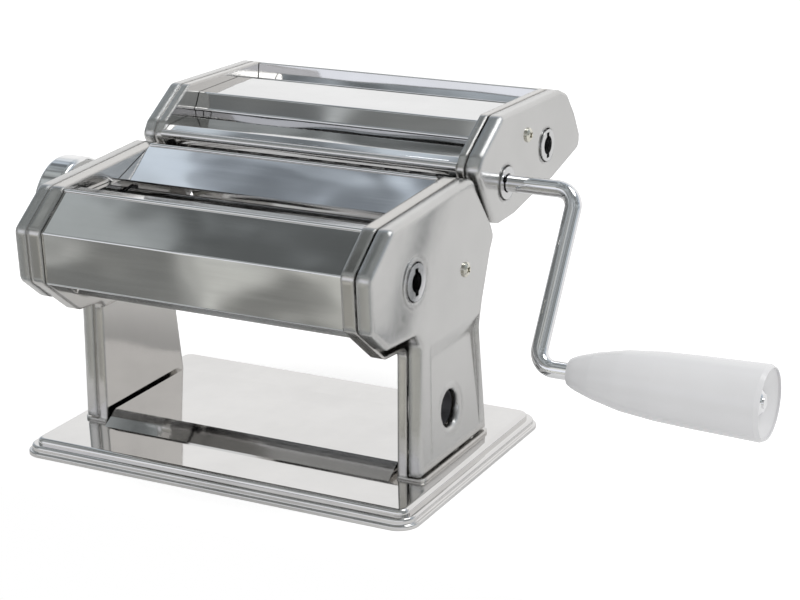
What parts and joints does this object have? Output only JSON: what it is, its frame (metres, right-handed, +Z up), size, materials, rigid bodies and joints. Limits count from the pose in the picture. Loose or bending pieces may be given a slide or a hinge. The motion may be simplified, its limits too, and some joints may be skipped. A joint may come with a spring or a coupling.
{
  "type": "pasta machine",
  "caption": "Hand-cranked kitchen machine on a polished base that rolls dough sheets between adjustable rollers, with a clip-on strand cutter at the back.",
  "frame": {"origin": "centre of the base's underside", "axes": "+X along the rollers to the crank side, -Y the front, +Z up"},
  "size_m": [0.35, 0.2223, 0.1555],
  "materials": {
    "base_polish": "mirror polished",
    "frame_steel": "bright pressed",
    "cover_satin": "satin nickel",
    "sheet_polish": "mirror polished",
    "spring_sheet": "bright",
    "rod_steel": "bright turned",
    "screw_steel": "bright",
    "bush_plastic": "dark moulded",
    "roller_chrome": "fine ground",
    "cutter_steel": "ground",
    "gear_steel": "cut",
    "knob_chrome": "polished",
    "crank_chrome": "polished",
    "grip_white": "gloss"
  },
  "bodies": {
    "frame": {"base_plate": "base_polish", "side_frame_left": "frame_steel", "side_frame_right": "frame_steel", "side_cover_left": "cover_satin", "side_cover_right": "cover_satin", "front_cover": "sheet_polish", "feed_plate": "sheet_polish", "rear_cover": "sheet_polish", "scraper_front": "spring_sheet", "tie_rods": "rod_steel", "cover_screws": "screw_steel", "foot_screws": "screw_steel", "clamp_bush": "bush_plastic", "roller_bushes": "bush_plastic", "index_ring": "knob_chrome", "attachment_rail_left": "rod_steel", "attachment_rail_right": "rod_steel", "throat_guide_left": "sheet_polish", "throat_guide_right": "sheet_polish"},
    "drive": {"drive_roller": "roller_chrome", "drive_gear": "gear_steel"},
    "carriage": {"bearing_block_left": "bush_plastic", "bearing_block_right": "bush_plastic", "scraper_rear": "spring_sheet"},
    "adjust": {"adjust_roller": "roller_chrome", "adjust_gear": "gear_steel"},
    "adjuster": {"adjuster_shaft": "knob_chrome", "knob": "knob_chrome", "knob_cap": "knob_chrome"},
    "cutter": {"cutter_frame_left": "frame_steel", "cutter_frame_right": "frame_steel", "cutter_cover_left": "cover_satin", "cutter_cover_right": "cover_satin", "cutter_front_guide": "sheet_polish", "cutter_middle_guide": "sheet_polish", "cutter_rear_guide": "sheet_polish", "wide_comb_plate": "spring_sheet", "narrow_comb_plate": "spring_sheet", "cutter_tie_rods": "rod_steel", "cutter_screws": "screw_steel", "cutter_bushes": "bush_plastic", "cutter_runner_left": "rod_steel", "cutter_runner_right": "rod_steel"},
    "wide_driven": {"wide_roll_driven": "cutter_steel", "wide_gear_driven": "gear_steel"},
    "wide_partner": {"wide_roll_partner": "cutter_steel", "wide_gear_partner": "gear_steel"},
    "narrow_driven": {"narrow_roll_driven": "cutter_steel", "narrow_gear_driven": "gear_steel"},
    "narrow_partner": {"narrow_roll_partner": "cutter_steel", "narrow_gear_partner": "gear_steel"},
    "crank": {"crank_rod": "crank_chrome", "grip_cap": "crank_chrome"},
    "grip": {"crank_grip": "grip_white"}
  },
  "joints": [
    {"name": "drive_spin", "type": "hinge", "parent": "frame", "child": "drive", "pos_m": [0, -0.0383, 0.1025], "axis": [1, 0, 0], "continuous": true},
    {"name": "knob_turn", "type": "hinge", "parent": "frame", "child": "adjuster", "pos_m": [-0.1, -0.0107, 0.107], "axis": [-1, 0, 0], "range_deg": [0, 300]},
    {"name": "gap_slide", "type": "slide", "parent": "frame", "child": "carriage", "axis": [0, -0.987, -0.1609], "range_m": [0, 0.0043]},
    {"name": "adjust_spin", "type": "hinge", "parent": "carriage", "child": "adjust", "pos_m": [0, -0.0107, 0.107], "axis": [1, 0, 0], "continuous": true},
    {"name": "cutter_lift", "type": "slide", "parent": "frame", "child": "cutter", "axis": [0, -0.5102, 0.86], "range_m": [0, 0.045]},
    {"name": "wide_spin", "type": "hinge", "parent": "cutter", "child": "wide_driven", "pos_m": [0, 0.0552, 0.1234], "axis": [1, 0, 0], "continuous": true},
    {"name": "wide_partner_spin", "type": "hinge", "parent": "cutter", "child": "wide_partner", "pos_m": [0, 0.0417, 0.1234], "axis": [1, 0, 0], "continuous": true},
    {"name": "narrow_spin", "type": "hinge", "parent": "cutter", "child": "narrow_driven", "pos_m": [0, 0.1014, 0.1308], "axis": [1, 0, 0], "continuous": true},
    {"name": "narrow_partner_spin", "type": "hinge", "parent": "cutter", "child": "narrow_partner", "pos_m": [0, 0.11485, 0.132], "axis": [1, 0, 0], "continuous": true},
    {"name": "crank_pull", "type": "slide", "parent": "wide_driven", "child": "crank", "axis": [1, 0, 0], "range_m": [0, 0.03]},
    {"name": "grip_spin", "type": "hinge", "parent": "crank", "child": "grip", "pos_m": [0.19, 0.00948, 0.05353], "axis": [1, 0, 0], "continuous": true}
  ],
  "couplings": [
    {"joint": "gap_slide", "follows": "knob_turn", "m_per_rad": 0.000821},
    {"joint": "adjust_spin", "follows": "drive_spin", "ratio": -1},
    {"joint": "wide_partner_spin", "follows": "wide_spin", "ratio": -1},
    {"joint": "narrow_partner_spin", "follows": "narrow_spin", "ratio": -1}
  ]
}
